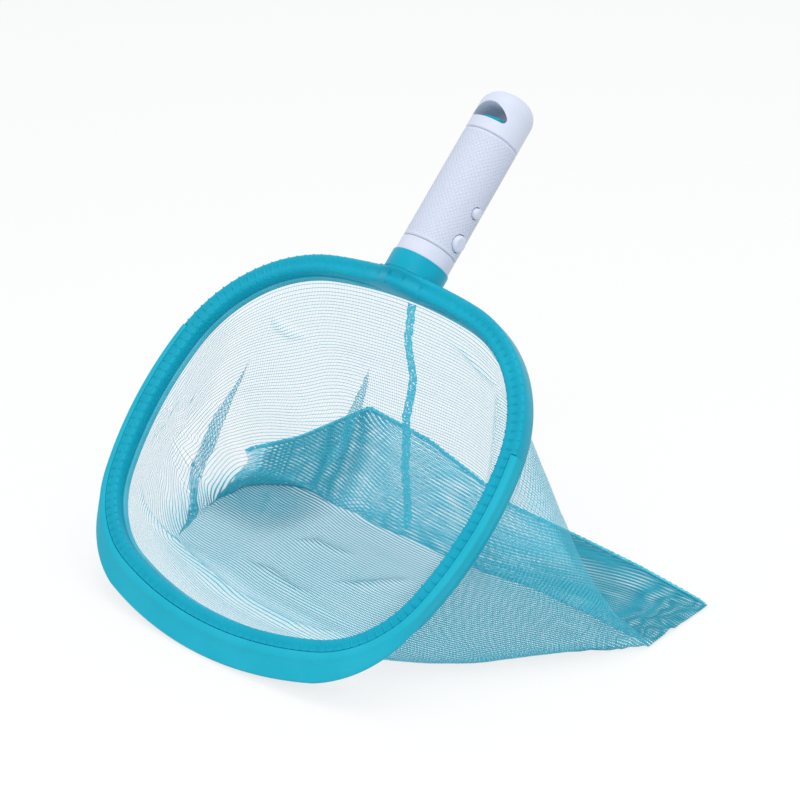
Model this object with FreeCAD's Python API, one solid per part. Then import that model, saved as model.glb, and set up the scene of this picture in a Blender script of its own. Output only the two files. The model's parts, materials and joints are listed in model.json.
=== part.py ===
import FreeCAD, Part
import math
import os

# A hand net for lifting leaves out of a small pool or spa. It stands as it was photographed: the rim leans
# back, its scoop lip and the net bag rest on the floor, and the handle points up and back.
# Everything is drawn in the rim's own axes: X across, Y from the rim's middle along the handle, and Z out of
# the front of the mouth. The last step leans it back and stands it on its base. Millimetres and degrees.

V = FreeCAD.Vector

LEAN = 45.0  # the handle's rise above the floor

# The rim's outline, without the lip: five tangent arcs on each side
RIM_WIDTH = 222.0
RIM_LENGTH = 196.5
WIDEST_AT = 1.9  # the widest place, ahead of the rim's middle
NEAR_RADIUS = 262.0  # the edge beside the neck
SHOULDER_RADIUS = 78.0
SIDE_RADIUS = 175.0
CORNER_RADIUS = 62.0
FAR_RADIUS = 206.0  # the edge that scoops

# The rim's section: a moulded channel, closed at its back by a ring that grips the net's hem
BAND = 9.8
RIM_DEPTH = 9.4
CROWN_ROUND = 2.2
CROWN_WALL = 2.0
OUTER_WALL = 1.8
INNER_WALL = 1.6
RIB_CHANNEL = 0.25  # how far the crown's ribbed strip lies below its shoulders
SHOULDER = 2.6
BACK_RING = 2.0
SNAP_RIB = 1.1
SNAP_RIB_HEIGHT = 4.2
HEM_GAP = 1.0  # between the inner wall and the back ring

# The net's hem, folded round a cord
CORD_RADIUS = 1.2
CORD_CLEAR = 0.1
HEM_FOLD = 0.5
HEM_LEG = 0.6
HEM_CLEAR = 0.2
SKIRT_CLEAR = 0.3

# The scoop lip, a softer strip hooked over the rim's outer edge from one notch to the other
LIP_REACH = 10.3
LIP_SIDE = 0.7
LIP_DROP = 4.5
LIP_EDGE = 2.0
LIP_HOOK = 3.3
LIP_HOOK_DEPTH = 1.4
LIP_END = 34.0  # the notches, ahead of the rim's middle
LIP_TOP_REACH = 1.5

# The neck and the handle
AXIS_Z = -6.6  # the handle's axis, behind the rim's front
COLLAR_RADIUS = 15.0
COLLAR_LENGTH = 8.3
NECK_SWELL = 12.5
HANDLE_RADIUS = 14.25
BASE_RING = 8.0
GRIP_LENGTH = 62.0
CAP_LENGTH = 24.348
CAP_ROUND = 9.5
CAP_DRAFT = 0.1  # how much the cap narrows from the slot to its tip
SEAM = 0.2
GROOVE = 0.6
SPINE_RADIUS = 10.4
SPINE_WALL = 1.8
SPINE_ROOT = 11.5
SLEEVE_CLEAR = 0.1
SPINE_END = 2.0  # the closed end of the spine's chamber, up to the slot

# The hanging slot, flat towards the grip and round towards the tip
SLOT_WIDTH = 20.4
SLOT_HEIGHT = 8.7
SLOT_FROM_TIP = 18.0
SLOT_CORNER = 1.8
SLOT_SILL = 2.8  # how far the spine's end stands up in the slot
SPINE_EDGE = 0.6

# The pole lock: on each side a carrier with a release button and a lock pin, sprung apart
BUTTON_AT = 15.3  # from the collar's end
PIN_AT = 32.5
BUTTON_RADIUS = 4.3
PIN_RADIUS = 2.8
HOLE_CLEAR = 0.45
BUTTON_PROUD = 1.7
PIN_PROUD = 2.1
CARRIER_THICK = 1.6
CARRIER_WIDE = 6.4
CARRIER_PAST = 4.6
CARRIER_CLEAR = 0.35
SPRING_RADIUS = 2.35
SPRING_WIRE = 0.7
SPRING_TURNS = 5
SPRING_CLEAR = 0.3
SPIGOT_RADIUS = 1.6
SPIGOT_LENGTH = 1.5

# The neck's screws, from behind
SCREW_APART = 10.0
SCREW_AT = 4.2  # from the collar's end
SCREW_LENGTH = 8.5
SHANK_RADIUS = 1.1
HEAD_RADIUS = 2.2
HEAD_HEIGHT = 1.5
HEAD_SUNK = 0.5
SCREW_CLEAR = 0.05
HEAD_CLEAR = 0.2
DRIVE_RADIUS = 1.0
DRIVE_DEPTH = 0.8

# The net bag, as it lies: places on the floor are (across, back) from the rim's middle
BAG_WALL = 0.9
BAG_COLLAR = 1.5
FOOT_MIDDLE = (-10.0, 28.0)
FOOT_WIDTH = 196.0
FOOT_LENGTH = 100.0
FOOT_CORNER = 30.0
TAIL_SECTIONS = (  # across, front, back, height at the front, height at the back
    (68.0, -14.0, 74.0, 40.0, 52.0),
    (112.0, 20.0, 104.0, 24.0, 30.0),
    (150.0, 72.0, 124.0, 5.0, 5.0),
)
TAIL_OPENS = 10.0  # how far inside the bag's wall its flat end starts
BINDING_WIDE = 3.0
BINDING_CLEAR = 0.3
SEAM_WIDE = 4.6
SEAM_THICK = 0.6
SEAM_CLEAR = 0.5

COLLAR_END = RIM_LENGTH / 2 + COLLAR_LENGTH
GRIP_START = COLLAR_END + BASE_RING
GRIP_END = GRIP_START + GRIP_LENGTH
TIP = GRIP_END + CAP_LENGTH
FLOOR = -(RIM_LENGTH / 2 + LIP_REACH) * math.sin(math.radians(LEAN)) - (
    LIP_DROP + LIP_EDGE
) * math.cos(math.radians(LEAN))


def turned(angle):
    """The direction at an angle from +Y towards +X."""
    return V(math.sin(math.radians(angle)), math.cos(math.radians(angle)), 0)


def angle_of(direction):
    return math.degrees(math.atan2(direction.x, direction.y))


def inner_centre(first, reach_1, second, reach_2):
    """The point on the +X side at those distances from two points."""
    between = second - first
    apart = between.Length
    along = (reach_1**2 - reach_2**2 + apart**2) / (2 * apart)
    aside = math.sqrt(reach_1**2 - along**2)
    across = V(-between.y, between.x, 0) / apart
    found = [first + between / apart * along + across * side for side in (aside, -aside)]
    return max(found, key=lambda point: point.x)


def tangent_arcs(width, near, far, widest, radii):
    """A loop that is alike on both sides, clockwise from the near edge: (centre, radius, start, end) of each arc."""
    near_r, shoulder_r, side_r, corner_r, far_r = radii
    near_c = V(0, near - near_r, 0)
    side_c = V(width / 2 - side_r, widest, 0)
    far_c = V(0, far_r - far, 0)
    shoulder_c = inner_centre(near_c, near_r - shoulder_r, side_c, side_r - shoulder_r)
    corner_c = inner_centre(side_c, side_r - corner_r, far_c, far_r - corner_r)
    ends = [
        angle_of(shoulder_c - near_c),
        angle_of(shoulder_c - side_c),
        angle_of(corner_c - side_c),
        angle_of(corner_c - far_c),
    ]
    right = [
        (shoulder_c, shoulder_r, ends[0], ends[1]),
        (side_c, side_r, ends[1], ends[2]),
        (corner_c, corner_r, ends[2], ends[3]),
    ]
    left = [(V(-c.x, c.y, 0), r, 360 - end, 360 - start) for c, r, start, end in reversed(right)]
    return [(near_c, near_r, -ends[0], ends[0]), *right, (far_c, far_r, ends[3], 360 - ends[3]), *left]


def rim_arcs(out=0.0, side=0.0, reach=0.0):
    """The rim's outline, moved out all round, or widened at the sides and the far edge."""
    radii = [NEAR_RADIUS, SHOULDER_RADIUS, SIDE_RADIUS, CORNER_RADIUS, FAR_RADIUS]
    arcs = tangent_arcs(
        RIM_WIDTH + 2 * side, RIM_LENGTH / 2 + side, RIM_LENGTH / 2 + reach, WIDEST_AT, radii
    )
    return [(centre, radius + out, start, end) for centre, radius, start, end in arcs]


def swept_ring(section, arcs):
    """A ring whose section is drawn in (outward from the outline, height)."""
    turns = []
    for centre, radius, start, end in arcs:
        face = section(lambda n, z: centre + turned(start) * (radius + n) + V(0, 0, z))
        turns.append(face.revolve(centre, V(0, 0, -1), end - start))
    return turns[0].multiFuse(turns[1:]).removeSplitter()


def loop(arcs, place):
    """The closed wire of the arcs, each point put where place says."""
    edges = []
    for centre, radius, start, end in arcs:
        points = [place(centre + turned(a) * radius) for a in (start, (start + end) / 2, end)]
        edges.append(Part.Arc(*points).toShape())
    return Part.Wire(edges)


def plate(arcs, low, high):
    """The area inside the arcs, from one height to another."""
    wire = loop(arcs, lambda p: p + V(0, 0, low))
    return Part.Face(wire).extrude(V(0, 0, high - low))


def polygon(points):
    return Part.Face(Part.makePolygon([*points, points[0]]))


def behind(edge):
    """The half space from an edge across the rim towards the scoop, as a large block."""
    size = 4 * (RIM_WIDTH + RIM_LENGTH)
    return Part.makeBox(size, size, size, V(-size / 2, edge - size, -size / 2))


def frame_section(at):
    """The channel: a crown with round shoulders, the long outer wall and the short inner wall."""
    corner = CROWN_ROUND * (1 - math.sqrt(0.5))
    inner_end = -(RIM_DEPTH - BACK_RING - HEM_GAP)
    line = lambda *points: Part.makePolygon([at(*p) for p in points])
    outer_round = Part.Arc(at(0, -CROWN_ROUND), at(-corner, -corner), at(-CROWN_ROUND, 0)).toShape()
    inner_round = Part.Arc(
        at(CROWN_ROUND - BAND, 0), at(corner - BAND, -corner), at(-BAND, -CROWN_ROUND)
    ).toShape()
    top = line(
        (-CROWN_ROUND, 0),
        (-SHOULDER, 0),
        (-SHOULDER, -RIB_CHANNEL),
        (SHOULDER - BAND, -RIB_CHANNEL),
        (SHOULDER - BAND, 0),
        (CROWN_ROUND - BAND, 0),
    )
    rest = line(
        (-BAND, -CROWN_ROUND),
        (-BAND, inner_end),
        (INNER_WALL - BAND, inner_end),
        (INNER_WALL - BAND, -CROWN_WALL),
        (-OUTER_WALL, -CROWN_WALL),
        (-OUTER_WALL, -RIM_DEPTH),
        (0, -RIM_DEPTH),
        (0, -CROWN_ROUND),
    )
    edges = [outer_round, *top.Edges, inner_round, *rest.Edges]
    return Part.Face(Part.Wire(Part.__sortEdges__(edges)))


def back_ring_section(at):
    """A flat ring that closes the channel, with a rib that snaps in beside the outer wall."""
    edge = -OUTER_WALL - SLEEVE_CLEAR
    top = -RIM_DEPTH + BACK_RING
    points = [
        (edge, -RIM_DEPTH),
        (edge, top + SNAP_RIB_HEIGHT),
        (edge - SNAP_RIB, top + SNAP_RIB_HEIGHT),
        (edge - SNAP_RIB, top),
        (-BAND, top),
        (-BAND, -RIM_DEPTH),
    ]
    return polygon([at(*p) for p in points])


def cord_place():
    """Where the hem's cord runs in the rim's section."""
    hem_radius = CORD_RADIUS + HEM_FOLD
    between = (-OUTER_WALL - SLEEVE_CLEAR - SNAP_RIB + INNER_WALL - BAND) / 2
    return between, -RIM_DEPTH + BACK_RING + HEM_CLEAR + hem_radius


def round_section(radius):
    """A round section about the cord's place."""

    def section(at):
        middle, height = cord_place()
        ends = [(middle, height + radius), (middle, height - radius)]
        sides = [(middle - radius, height), (middle + radius, height)]
        inner = Part.Arc(at(*ends[0]), at(*sides[0]), at(*ends[1])).toShape()
        outer = Part.Arc(at(*ends[1]), at(*sides[1]), at(*ends[0])).toShape()
        return Part.Face(Part.Wire([inner, outer]))

    return section


def hem_section(at):
    """The fold round the cord, its leg under the inner wall, and the skirt that the bag is sewn to."""
    middle, height = cord_place()
    outer = CORD_RADIUS + HEM_FOLD
    low = height - outer
    high = low + HEM_LEG
    meets = math.degrees(math.asin((high - height) / outer))
    last = 180 - meets
    halfway = math.radians((last - 90) / 2)
    mouth = -BAND - SKIRT_CLEAR
    skirt_end = -RIM_DEPTH - HEM_CLEAR
    fold_end = (middle + outer * math.cos(math.radians(last)), high)
    over = Part.Arc(
        at(middle, low),
        at(middle + outer * math.cos(halfway), height + outer * math.sin(halfway)),
        at(*fold_end),
    ).toShape()
    leg = Part.makePolygon(
        [
            at(*fold_end),
            at(mouth - HEM_LEG, high),
            at(mouth - HEM_LEG, skirt_end),
            at(mouth, skirt_end),
            at(mouth, low),
            at(middle, low),
        ]
    )
    tunnel = round_section(CORD_RADIUS + CORD_CLEAR)(at).OuterWire
    outline = Part.Face(Part.Wire([over, *leg.Edges]))
    return outline.cut(Part.Face(tunnel)).Faces[0]


def along_handle(radius, start, end, x=0.0, z=AXIS_Z):
    return Part.makeCylinder(radius, end - start, V(x, start, z), V(0, 1, 0))


def across_handle(radius, start, end, y):
    return Part.makeCylinder(radius, end - start, V(start, y, AXIS_Z), V(1, 0, 0))


def screw_places():
    return [V(side * SCREW_APART / 2, COLLAR_END - SCREW_AT, 0) for side in (-1, 1)]


def screw_top(place):
    """The height of the sunk head's face, below the collar's back."""
    return AXIS_Z - math.sqrt(COLLAR_RADIUS**2 - place.x**2) + HEAD_SUNK


def make_rim_frame():
    ring = swept_ring(frame_section, rim_arcs())
    # The shoulder that the lip hooks over is lower, from notch to notch
    rebate = plate(rim_arcs(out=BAND), -LIP_HOOK_DEPTH, BAND)
    rebate = rebate.cut(plate(rim_arcs(out=-LIP_HOOK), -BAND, 2 * BAND)).common(behind(LIP_END))
    ring = ring.cut(rebate)
    edge = RIM_LENGTH / 2
    collar = along_handle(COLLAR_RADIUS, edge - OUTER_WALL, COLLAR_END)
    ellipse = Part.Ellipse(V(0, edge, 0), COLLAR_RADIUS, NECK_SWELL)
    quarter = Part.ArcOfEllipse(ellipse, math.radians(270), math.radians(360)).toShape()
    middle = V(0, edge, 0)
    sides = Part.makePolygon([quarter.valueAt(quarter.LastParameter), middle, V(0, edge - NECK_SWELL, 0)])
    swell = Part.Face(Part.Wire(Part.__sortEdges__([quarter, *sides.Edges])))
    swell = swell.revolve(middle, V(0, 1, 0), 360)
    swell.translate(V(0, 0, AXIS_Z))
    size = 4 * COLLAR_RADIUS
    above = Part.makeBox(size, size, size, V(-size / 2, edge - size / 2, -CROWN_WALL))
    frame = ring.fuse([collar, swell.common(above)])
    socket = along_handle(SPINE_RADIUS + SLEEVE_CLEAR, edge + SEAM, COLLAR_END + SEAM)
    frame = frame.cut(socket)
    for place in screw_places():
        top = screw_top(place)
        shank = Part.makeCylinder(SHANK_RADIUS + HEAD_CLEAR, SCREW_LENGTH, place + V(0, 0, top), V(0, 0, 1))
        head = Part.makeCylinder(
            HEAD_RADIUS + HEAD_CLEAR,
            COLLAR_RADIUS / 2 + HEAD_HEIGHT,
            place + V(0, 0, top - COLLAR_RADIUS / 2),
            V(0, 0, 1),
        )
        frame = frame.cut(shank).cut(head)
    return frame.removeSplitter()


def make_scoop_lip():
    low_arcs = rim_arcs(side=LIP_SIDE, reach=LIP_REACH)
    top_arcs = rim_arcs(side=LIP_SIDE / 2, reach=LIP_TOP_REACH)
    top = loop(top_arcs, lambda p: p + V(0, 0, -SLEEVE_CLEAR))
    low = loop(low_arcs, lambda p: p + V(0, 0, -LIP_DROP))
    blade = Part.makeLoft([top, low], True, True)
    blade = blade.fuse(plate(low_arcs, -LIP_DROP - LIP_EDGE, -LIP_DROP))
    blade = blade.cut(plate(rim_arcs(out=SLEEVE_CLEAR), -RIM_DEPTH, -LIP_HOOK_DEPTH))
    blade = blade.cut(plate(rim_arcs(out=SLEEVE_CLEAR - LIP_HOOK), -RIM_DEPTH, BAND))
    return blade.common(behind(LIP_END - SEAM)).removeSplitter()


def make_spine():
    """The inner tube: its root in the collar, the lock's chamber, and a closed end that shows in the slot."""
    root = RIM_LENGTH / 2 + 2 * SEAM
    body = along_handle(SPINE_RADIUS, root, slot_base() + SLOT_SILL)
    edge = max(body.Edges, key=lambda e: e.BoundBox.YMin)
    body = body.makeFillet(SPINE_EDGE, [edge])
    chamber = along_handle(SPINE_RADIUS - SPINE_WALL, root + SPINE_ROOT, slot_base() - SPINE_END)
    body = body.cut([chamber, *lock_holes()])
    for place in screw_places():
        pilot = Part.makeCylinder(
            SHANK_RADIUS + SCREW_CLEAR, SCREW_LENGTH + SEAM, place + V(0, 0, screw_top(place)), V(0, 0, 1)
        )
        body = body.cut(pilot)
    return body


def lock_holes():
    reach = HANDLE_RADIUS + BAND
    return [
        across_handle(radius + HOLE_CLEAR, -reach, reach, COLLAR_END + at)
        for radius, at in ((BUTTON_RADIUS, BUTTON_AT), (PIN_RADIUS, PIN_AT))
    ]


def slot_base():
    return TIP - SLOT_FROM_TIP


def hanging_slot():
    """A flat side towards the grip and a low arch towards the tip, cut from front to back."""
    half = SLOT_WIDTH / 2
    base = slot_base()
    reach = 4 * HANDLE_RADIUS
    side = base + SLOT_HEIGHT / 3
    arch = Part.Arc(V(-half, side, 0), V(0, base + SLOT_HEIGHT, 0), V(half, side, 0)).toShape()
    lower = Part.makePolygon([V(half, side, 0), V(half, base, 0), V(-half, base, 0), V(-half, side, 0)])
    face = Part.Face(Part.Wire([arch, *lower.Edges]))
    slot = face.extrude(V(0, 0, reach))
    slot = slot.makeFillet(SLOT_CORNER, [e for e in slot.Edges if abs(e.BoundBox.ZLength - reach) < SEAM])
    slot.translate(V(0, 0, AXIS_Z - reach / 2))
    return slot


def handle_tube(start, end, grooves):
    """A length of the handle's outside, with its grooved ends bevelled."""
    tube = along_handle(HANDLE_RADIUS, start, end)
    for at in grooves:
        rims = [e for e in tube.Edges if abs(e.BoundBox.YMin - at) < SEAM / 4 and e.BoundBox.YLength < SEAM / 4]
        tube = tube.makeChamfer(GROOVE, rims)
    return tube


def make_base_ring():
    ring = handle_tube(COLLAR_END + SEAM / 2, GRIP_START - SEAM / 2, [GRIP_START - SEAM / 2])
    return ring.cut(along_handle(SPINE_RADIUS + SLEEVE_CLEAR, COLLAR_END - SEAM, GRIP_START + SEAM))


def make_grip_sleeve():
    ends = [GRIP_START + SEAM / 2, GRIP_END - SEAM / 2]
    sleeve = handle_tube(*ends, ends)
    bore = along_handle(SPINE_RADIUS + SLEEVE_CLEAR, GRIP_START - SEAM, GRIP_END + SEAM)
    return sleeve.cut([bore, *lock_holes()])


def make_end_cap():
    """A round wall up to the slot, then a slight draft, with the slot through it and a rounded tip."""
    start = GRIP_END + SEAM / 2
    drawn_from = slot_base() - SEAM
    wall = handle_tube(start, drawn_from, [start])
    place = V(0, drawn_from, AXIS_Z)
    drawn = Part.makeCone(HANDLE_RADIUS, HANDLE_RADIUS - CAP_DRAFT, TIP - drawn_from, place, V(0, 1, 0))
    tip_edge = max(drawn.Edges, key=lambda e: e.BoundBox.YMin)
    cap = wall.fuse(drawn.makeFillet(CAP_ROUND, [tip_edge]))
    hollow = along_handle(SPINE_RADIUS + SLEEVE_CLEAR, GRIP_END - SEAM, slot_base() + SLOT_SILL + SLEEVE_CLEAR)
    return cap.cut([hollow, hanging_slot()])


def carrier_face():
    """How far out a carrier's outer face lies, clear of the chamber's wall."""
    chamber = SPINE_RADIUS - SPINE_WALL - CARRIER_CLEAR
    return math.sqrt(chamber**2 - (CARRIER_WIDE / 2) ** 2)


def make_carrier():
    """The right carrier: a plate inside the spine, with a spigot for the spring."""
    face = carrier_face()
    start = COLLAR_END + BUTTON_AT - CARRIER_PAST
    length = PIN_AT - BUTTON_AT + 2 * CARRIER_PAST
    corner = V(face - CARRIER_THICK, start, AXIS_Z - CARRIER_WIDE / 2)
    bar = Part.makeBox(CARRIER_THICK, length, CARRIER_WIDE, corner)
    inside = face - CARRIER_THICK
    return bar.fuse(across_handle(SPIGOT_RADIUS, inside - SPIGOT_LENGTH, inside, spring_place()))


def spring_place():
    return COLLAR_END + (BUTTON_AT + PIN_AT) / 2


def domed_stud(radius, proud, at):
    """A round stud that stands on the right carrier and ends in a low dome outside the handle."""
    face = carrier_face()
    stud = across_handle(radius, face, HANDLE_RADIUS + proud, COLLAR_END + at)
    top_edge = max(stud.Edges, key=lambda e: e.BoundBox.XMin)
    return stud.makeFillet(min(proud, radius / 2), [top_edge])


def make_springs():
    """One coil that pushes the two carriers apart."""
    length = 2 * (carrier_face() - CARRIER_THICK - SPRING_CLEAR) - SPRING_WIRE
    helix = Part.makeHelix(length / SPRING_TURNS, length, SPRING_RADIUS)
    circle = Part.Wire(Part.Circle(V(SPRING_RADIUS, 0, 0), V(0, 1, 0), SPRING_WIRE / 2).toShape())
    coil = Part.Wire(helix.Edges).makePipeShell([circle], True, True)
    coil.translate(V(0, 0, -length / 2))
    coil.rotate(V(0, 0, 0), V(0, 1, 0), 90)
    coil.translate(V(0, spring_place(), AXIS_Z))
    return coil


def make_neck_screws():
    screws = []
    for place in screw_places():
        top = screw_top(place)
        shank = Part.makeCylinder(SHANK_RADIUS, SCREW_LENGTH, place + V(0, 0, top), V(0, 0, 1))
        head = Part.makeCylinder(HEAD_RADIUS, HEAD_HEIGHT, place + V(0, 0, top), V(0, 0, 1))
        drive = Part.makeCylinder(DRIVE_RADIUS, DRIVE_DEPTH, place + V(0, 0, top), V(0, 0, 1))
        screws.append(head.fuse(shank).removeSplitter().cut(drive))
    return Part.makeCompound(screws)


def from_floor(across, back, up):
    """A point given across, back and up from the floor, in the rim's own axes."""
    lean = math.radians(LEAN)
    height = FLOOR + up
    return V(
        across,
        back * math.cos(lean) + height * math.sin(lean),
        -back * math.sin(lean) + height * math.cos(lean),
    )


def foot_arcs(inset):
    """The bag's foot on the floor, as arcs about the foot's middle."""
    radii = [NEAR_RADIUS, FOOT_CORNER, SIDE_RADIUS, FOOT_CORNER, FAR_RADIUS]
    arcs = tangent_arcs(FOOT_WIDTH, FOOT_LENGTH / 2, FOOT_LENGTH / 2, 0, radii)
    return [(centre, radius - inset, start, end) for centre, radius, start, end in arcs]


def bag_space(inset, start):
    """The room inside the bag's wall, or the whole outside with no inset."""
    mouth = rim_arcs(out=-BAND - SKIRT_CLEAR - inset)
    level = -RIM_DEPTH - HEM_CLEAR
    top = loop(mouth, lambda p: p + V(0, 0, level - BAG_COLLAR))
    foot = loop(
        foot_arcs(inset), lambda p: from_floor(FOOT_MIDDLE[0] + p.x, FOOT_MIDDLE[1] + p.y, inset)
    )
    body = Part.makeLoft([top, foot], True, True)
    return body.fuse(plate(mouth, level - BAG_COLLAR, level + start))


def tail_section(across, front, back, front_height, back_height, inset=0.0):
    corners = [
        (front + inset, inset),
        (front + inset, front_height - inset),
        (back - inset, back_height - inset),
        (back - inset, inset),
    ]
    points = [from_floor(across, place, height) for place, height in corners]
    return Part.makePolygon([*points, points[0]])


def tail_space():
    """The room in the bag's flat end, which opens into the bag."""
    first, *between, last = TAIL_SECTIONS
    stations = [(first[0] - TAIL_OPENS, *first[1:]), *between, (last[0] - BAG_WALL, *last[1:])]
    return Part.makeLoft([tail_section(*s, BAG_WALL) for s in stations], True, True)


def make_net_bag():
    """A thin bag from the hem's skirt to the floor, and its end, which lies folded flat to one side."""
    tail = Part.makeLoft([tail_section(*s) for s in TAIL_SECTIONS], True, True)
    inside = bag_space(BAG_WALL, BAG_COLLAR)
    return bag_space(0, 0).fuse(tail).cut([inside, tail_space()]).removeSplitter()


def make_end_binding():
    """The bound edge of the bag's end."""
    across, front, back, height, _ = TAIL_SECTIONS[-1]
    start = across + BINDING_CLEAR
    ends = [tail_section(x, front, back, height, height) for x in (start, start + BINDING_WIDE)]
    return Part.makeLoft(ends, True, True)


def make_back_seam():
    """The seam tape down the middle of the wall under the neck, inside the bag."""
    wall = BAG_WALL + SEAM_CLEAR
    top_y = RIM_LENGTH / 2 - BAND - SKIRT_CLEAR - wall
    top = V(0, top_y, -RIM_DEPTH - HEM_CLEAR - BAG_COLLAR)
    foot = from_floor(0, FOOT_MIDDLE[1] + FOOT_LENGTH / 2 - wall, wall)
    thick = V(0, -SEAM_THICK, 0)
    points = [top, foot, foot + thick, top + thick]
    face = polygon([p - V(SEAM_WIDE / 2, 0, 0) for p in points])
    return face.extrude(V(SEAM_WIDE, 0, 0))


def mirrored(shape):
    return shape.mirror(V(0, 0, 0), V(1, 0, 0))


def make_pieces():
    right = {
        "carrier": make_carrier(),
        "release_button": domed_stud(BUTTON_RADIUS, BUTTON_PROUD, BUTTON_AT),
        "lock_pin": domed_stud(PIN_RADIUS, PIN_PROUD, PIN_AT),
    }
    pieces = {
        "rim_frame": make_rim_frame(),
        "rim_back_ring": swept_ring(back_ring_section, rim_arcs()),
        "scoop_lip": make_scoop_lip(),
        "hem_cord": swept_ring(round_section(CORD_RADIUS), rim_arcs()),
        "net_hem": swept_ring(hem_section, rim_arcs()),
        "net_bag": make_net_bag(),
        "back_seam_tape": make_back_seam(),
        "end_binding": make_end_binding(),
        "handle_spine": make_spine(),
        "base_ring": make_base_ring(),
        "grip_sleeve": make_grip_sleeve(),
        "end_cap": make_end_cap(),
        "lock_spring": make_springs(),
        "neck_screws": make_neck_screws(),
    }
    for name, shape in right.items():
        pieces[f"{name}_right"] = shape
        pieces[f"{name}_left"] = mirrored(shape)
    return pieces


def main():
    pieces = make_pieces()
    for shape in pieces.values():
        shape.rotate(V(0, 0, 0), V(1, 0, 0), LEAN)
    box = Part.makeCompound(list(pieces.values())).optimalBoundingBox(False)
    stand = V(-box.Center.x, -box.Center.y, -box.ZMin)
    print("stand at", stand, "size", box.XLength, box.YLength, box.ZLength)
    os.makedirs("parts", exist_ok=True)
    for name, shape in pieces.items():
        shape.translate(stand)
        print(name, "solids", len(shape.Solids), "valid", shape.isValid(), "mm3", round(shape.Volume))
        shape.exportStep(f"parts/{name}.step")


main()
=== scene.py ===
import bmesh
import bpy
import json
import math
from mathutils import Matrix, Vector


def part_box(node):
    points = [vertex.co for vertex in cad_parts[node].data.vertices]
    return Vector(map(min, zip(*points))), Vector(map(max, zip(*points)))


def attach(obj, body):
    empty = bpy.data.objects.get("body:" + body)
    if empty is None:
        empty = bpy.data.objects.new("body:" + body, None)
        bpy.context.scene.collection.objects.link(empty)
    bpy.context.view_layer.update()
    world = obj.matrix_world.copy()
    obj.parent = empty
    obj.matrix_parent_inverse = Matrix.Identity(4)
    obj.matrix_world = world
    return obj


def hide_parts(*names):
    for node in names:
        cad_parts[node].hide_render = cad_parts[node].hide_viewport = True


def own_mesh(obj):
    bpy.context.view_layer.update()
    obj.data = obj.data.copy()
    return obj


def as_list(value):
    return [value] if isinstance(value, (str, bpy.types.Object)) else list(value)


# A hand net for lifting leaves out of a small pool or spa. Sizes are in millimetres and angles in degrees.
# The rim and the handle are drawn in the rim's own axes: X across, Y from the rim's middle along the handle,
# Z out of the front of the mouth. The net is drawn on the floor: across, back and up from below that middle.

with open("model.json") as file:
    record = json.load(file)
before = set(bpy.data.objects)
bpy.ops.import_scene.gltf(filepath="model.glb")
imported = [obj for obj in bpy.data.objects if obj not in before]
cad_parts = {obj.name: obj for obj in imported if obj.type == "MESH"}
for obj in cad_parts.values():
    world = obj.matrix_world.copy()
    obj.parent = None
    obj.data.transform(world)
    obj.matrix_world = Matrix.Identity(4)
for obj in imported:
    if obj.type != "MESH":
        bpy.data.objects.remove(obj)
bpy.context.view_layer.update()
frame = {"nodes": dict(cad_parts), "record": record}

MM = 0.001
LEAN = 45.0
BODY = "net_and_handle"
SHARP = math.radians(32)
# Vertices closer than this are one: of most shapes, of a swept ring, and of a CAD mesh in metres
NEAR = 0.001
NEAR_IN_RING = 0.01
NEAR_IN_CAD = 0.000001
ANGLE_NEAR = 0.01

# The camera, as the photograph was taken
CAMERA_PLACE = (727.5, -820.15, 608.6)
CAMERA_RIGHT = (0.7435, 0.6685, 0.0192)
CAMERA_UP = (-0.2945, 0.3015, 0.9068)
LENS = 114.7
SENSOR = 36.0

# The rim's outline without its lip, five tangent arcs on each side, and its section
RIM_WIDTH = 222.0
RIM_LENGTH = 196.5
WIDEST_AT = 1.9
NEAR_RADIUS = 262.0
SHOULDER_RADIUS = 78.0
SIDE_RADIUS = 175.0
CORNER_RADIUS = 62.0
FAR_RADIUS = 206.0
BAND = 9.8
RIM_DEPTH = 9.4
CROWN_ROUND = 2.2
CROWN_WALL = 2.0
OUTER_WALL = 1.8
INNER_WALL = 1.6
INNER_END = 6.4
CHANNEL_DEPTH = 0.75
SHOULDER = 2.8
WIDE_ROUND = 1.0
# The section's corners (outward, height, radius)
RIM_SECTION = [
    (0, 0, CROWN_ROUND),
    (-SHOULDER, 0, 0.5),
    (-BAND / 2, -CHANNEL_DEPTH, 1.4),
    (SHOULDER - BAND, 0, 0.5),
    (-BAND, 0, CROWN_ROUND * 0.95),
    (-BAND, -INNER_END, 0.4),
    (INNER_WALL - BAND, -INNER_END, 0.3),
    (INNER_WALL - BAND, -CROWN_WALL, 0.3),
    (-OUTER_WALL, -CROWN_WALL, 0.3),
    (-OUTER_WALL, -RIM_DEPTH, 0.2),
    (0, -RIM_DEPTH, 0.4),
]

# The ribs across the crown's channel, every other one of them low at the neck
RIB_PITCH = 4.8
STEPS_A_RIB = 8
RIB_TOP = 0.2
NECK_RIB_TOP = 0.0
NECK_PLAIN = 34.0
CHANNEL_FROM = 0.06

# The lip hooked over the rim's outer edge
LIP_REACH = 10.3
LIP_SIDE = 0.7
LIP_TOP_REACH = 1.5
LIP_TOP_LEAST = 0.35
LIP_TOP = -1.0
LIP_DROP = 4.5
LIP_EDGE = 2.0
LIP_HOOK = 3.25
LIP_HOOK_DEPTH = 1.35
LIP_END = 33.8
LIP_SPARE = 3.0
LIP_STEP = 1.6
FIT = 0.1

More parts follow.
